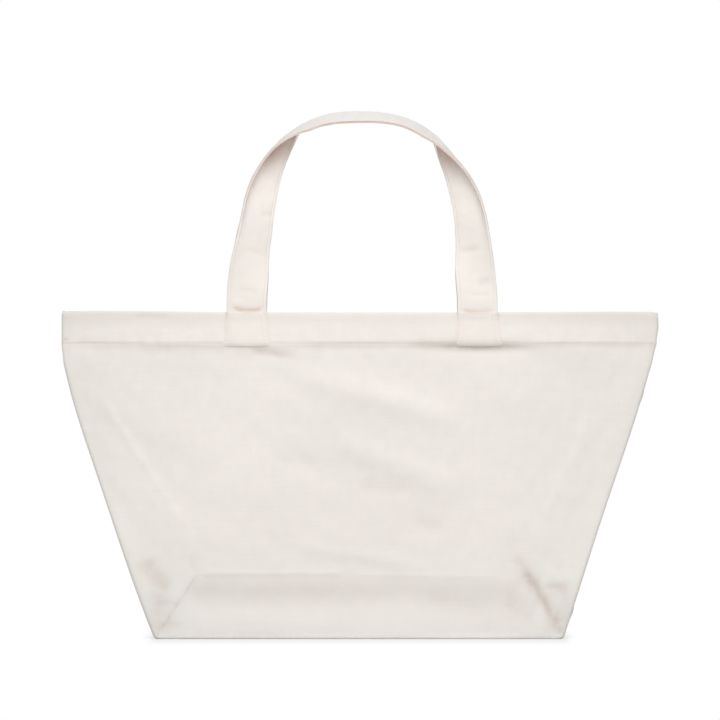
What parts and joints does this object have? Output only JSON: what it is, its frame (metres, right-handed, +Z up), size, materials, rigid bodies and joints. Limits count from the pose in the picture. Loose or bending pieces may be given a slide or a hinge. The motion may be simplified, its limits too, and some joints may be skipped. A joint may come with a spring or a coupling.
{
  "type": "tote bag",
  "caption": "Wide-mouthed canvas tote that stands on a boxed base, with sloping sides, a hemmed mouth and tall twisted strap handles that swing.",
  "frame": {"origin": "middle of the underside of the boxed base", "axes": "+Z up, +X to the bag's right as seen from the front, the front face looks along -Y"},
  "size_m": [0.596, 0.129, 0.5275],
  "materials": {
    "canvas": "undyed off-white cotton canvas, plain weave, matt, with soft pressing creases",
    "hem_canvas": "the same canvas, inside of the mouth's turned-in hem",
    "seam_edges": "raw edges of the same canvas, overlocked, a little darker",
    "strap": "folded off-white cotton strap, stitched along both edges"
  },
  "bodies": {
    "bag": {"front_panel": "canvas", "back_panel": "canvas", "front_hem": "hem_canvas", "back_hem": "hem_canvas", "left_side_seam": "seam_edges", "right_side_seam": "seam_edges", "left_corner_seam": "seam_edges", "right_corner_seam": "seam_edges", "base_seam": "seam_edges", "front_left_strap_end": "strap", "front_right_strap_end": "strap", "back_left_strap_end": "strap", "back_right_strap_end": "strap"},
    "front_loop": {"front_handle": "strap"},
    "back_loop": {"back_handle": "strap"}
  },
  "joints": [
    {"name": "front_handle_swing", "type": "hinge", "parent": "bag", "child": "front_loop", "pos_m": [0.003, -0.04305, 0.3263], "axis": [1, 0, 0], "range_deg": [-5, 160]},
    {"name": "back_handle_swing", "type": "hinge", "parent": "bag", "child": "back_loop", "pos_m": [0.003, 0.04305, 0.3263], "axis": [-1, 0, 0], "range_deg": [-5, 160]}
  ]
}
